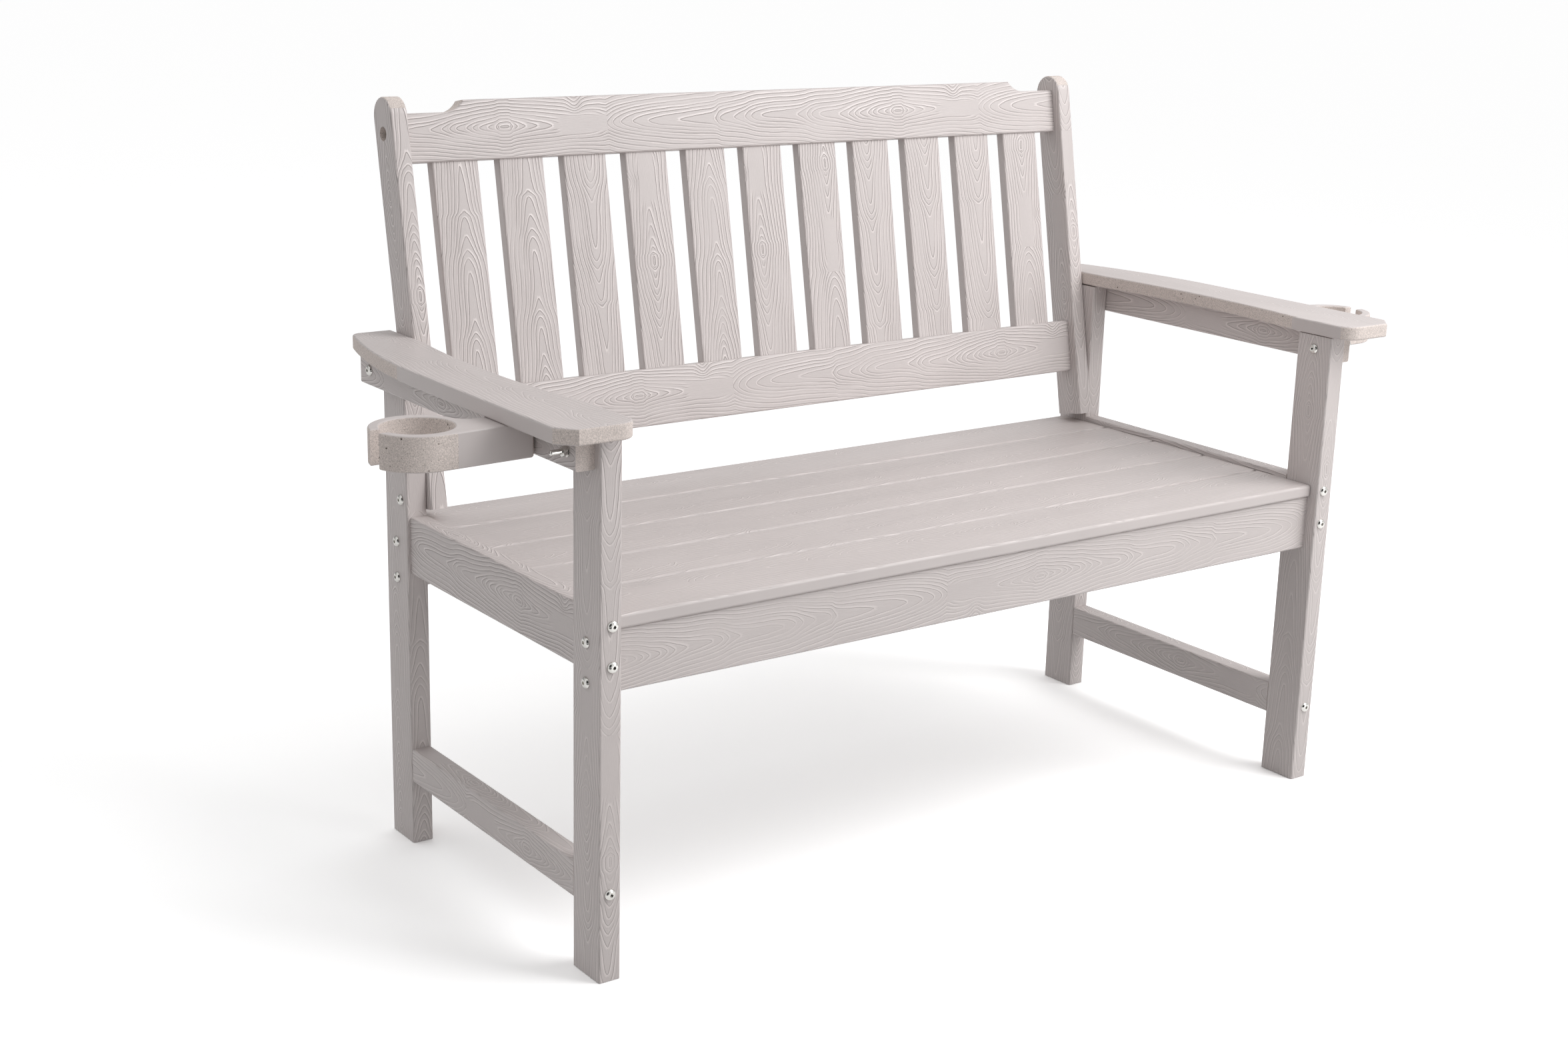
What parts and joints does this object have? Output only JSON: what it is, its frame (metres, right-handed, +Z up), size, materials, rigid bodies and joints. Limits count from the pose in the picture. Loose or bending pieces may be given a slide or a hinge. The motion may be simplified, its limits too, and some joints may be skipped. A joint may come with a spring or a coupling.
{
  "type": "garden bench",
  "caption": "Garden bench of wood-grain plastic lumber with a slatted leaning back, flat arms and a swivelling cup holder under each arm.",
  "frame": {"origin": "on the floor, at the centre plane of the bench and the middle of its overall depth", "axes": "+X along the bench to the right as seen from the front, +Y from the front to the back, +Z up; the seat faces -Y"},
  "size_m": [1.503, 0.598, 0.9066],
  "materials": {
    "lumber": "embossed wood grain, matt",
    "stainless": "bright",
    "zinc_steel": "zinc plated"
  },
  "bodies": {
    "root": {"leg_front_left": "lumber", "leg_front_right": "lumber", "leg_rear_left": "lumber", "leg_rear_right": "lumber", "front_apron": "lumber", "rear_apron": "lumber", "side_apron_left": "lumber", "side_apron_right": "lumber", "stretcher_left": "lumber", "stretcher_right": "lumber", "arm_cleat_left": "lumber", "arm_cleat_right": "lumber", "arm_left": "lumber", "arm_right": "lumber", "seat_board_1": "lumber", "seat_board_2": "lumber", "seat_board_3": "lumber", "seat_board_4": "lumber", "seat_board_5": "lumber", "seat_bearer_left": "lumber", "seat_bearer_middle": "lumber", "seat_bearer_right": "lumber", "back_upright_left": "lumber", "back_upright_right": "lumber", "bottom_rail": "lumber", "top_rail": "lumber", "back_slat_1": "lumber", "back_slat_2": "lumber", "back_slat_3": "lumber", "back_slat_4": "lumber", "back_slat_5": "lumber", "back_slat_6": "lumber", "back_slat_7": "lumber", "back_slat_8": "lumber", "back_slat_9": "lumber", "back_slat_10": "lumber", "back_slat_11": "lumber", "apron_bolts": "stainless", "rail_end_bolts": "stainless", "upright_bolts": "stainless", "arm_rear_bolts": "stainless", "arm_front_bolts": "stainless", "arm_nuts": "stainless", "arm_washers": "stainless", "back_rail_bolts": "stainless", "swivel_bolts": "stainless", "swivel_washers": "stainless", "apron_inserts": "zinc_steel", "rail_end_inserts": "zinc_steel", "upright_inserts": "zinc_steel", "back_rail_inserts": "zinc_steel", "swivel_inserts": "zinc_steel", "seat_screws": "zinc_steel", "bearer_screws": "zinc_steel", "arm_screws": "zinc_steel", "bearer_brackets": "zinc_steel", "bracket_screws": "zinc_steel"},
    "cup_holder_left": {"cup_holder_left": "lumber"},
    "cup_holder_right": {"cup_holder_right": "lumber"}
  },
  "joints": [
    {"name": "cup_holder_swivel_left", "type": "hinge", "parent": "root", "child": "cup_holder_left", "pos_m": [-0.605, -0.15599, 0.594], "axis": [0, 0, -1], "range_deg": [-6, 58]},
    {"name": "cup_holder_swivel_right", "type": "hinge", "parent": "root", "child": "cup_holder_right", "pos_m": [0.605, -0.15599, 0.594], "axis": [0, 0, 1], "range_deg": [-11, 54]}
  ]
}
